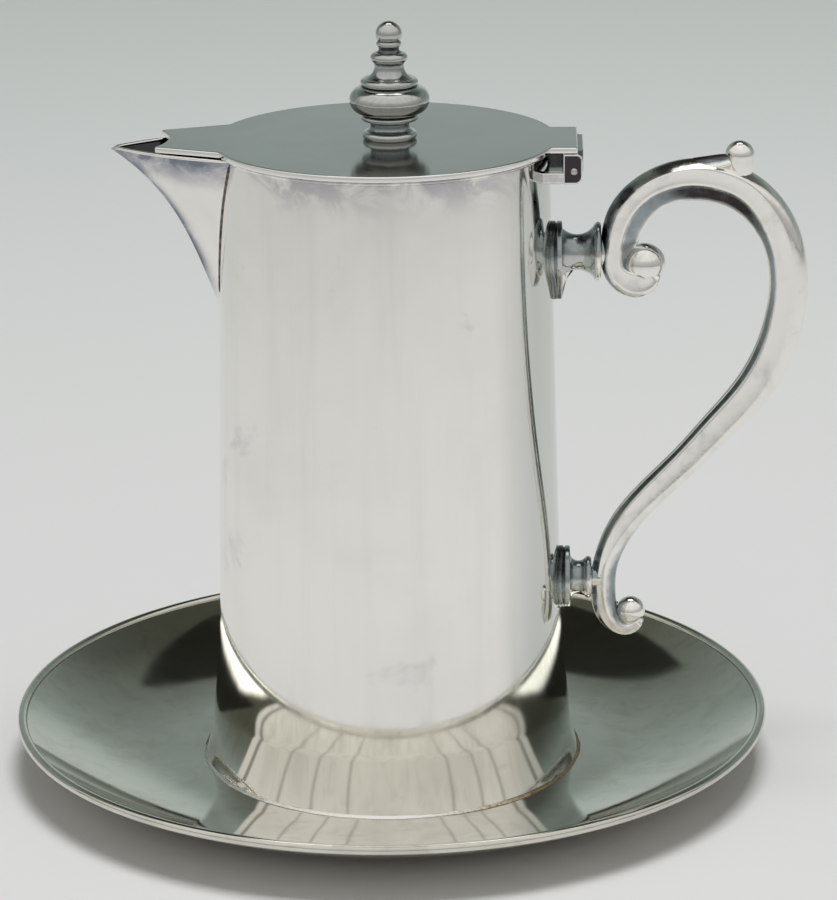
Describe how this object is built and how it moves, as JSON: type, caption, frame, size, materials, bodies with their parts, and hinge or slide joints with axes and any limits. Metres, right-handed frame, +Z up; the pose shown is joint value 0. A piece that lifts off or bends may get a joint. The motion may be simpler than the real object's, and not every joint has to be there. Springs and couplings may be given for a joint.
{
  "type": "syrup pitcher",
  "caption": "Tall tapering silver-plated syrup pitcher with a flat hinged lid, a keeled spout and a scroll handle, soldered to its own round underplate.",
  "frame": {"origin": "centre of the underplate's flat underside, on the pitcher's axis, at the height of the table", "axes": "+Z up along the pitcher's axis, +X towards the hinge and the handle, so that the spout points along -X"},
  "size_m": [0.1525, 0.146, 0.1452],
  "materials": {
    "silver_plate": "polished silver plate, softened by fine wear",
    "cast_silver": "polished casting with tarnish in its recesses",
    "solder": "bright solder seam, yellow where the plate has worn",
    "nickel": "plain nickel silver"
  },
  "bodies": {
    "pitcher": {"underplate": "silver_plate", "underplate_rim_wire": "silver_plate", "body_shell": "silver_plate", "body_base": "silver_plate", "foot_solder_ring": "solder", "body_rim_wire": "silver_plate", "spout": "silver_plate", "hinge_bracket": "cast_silver", "hinge_pin": "nickel", "upper_escutcheon": "cast_silver", "lower_escutcheon": "cast_silver", "upper_handle_post": "cast_silver", "lower_handle_post": "cast_silver", "upper_handle_collar": "cast_silver", "lower_handle_collar": "cast_silver", "handle": "cast_silver"},
    "lid": {"lid_plate": "silver_plate", "lid_knuckle": "cast_silver", "finial": "cast_silver", "finial_washer": "nickel", "finial_nut": "nickel"}
  },
  "joints": [
    {"name": "lid_hinge", "type": "hinge", "parent": "pitcher", "child": "lid", "pos_m": [0.0353, 0, 0.1186], "axis": [0, 1, 0], "range_deg": [0, 110]}
  ]
}
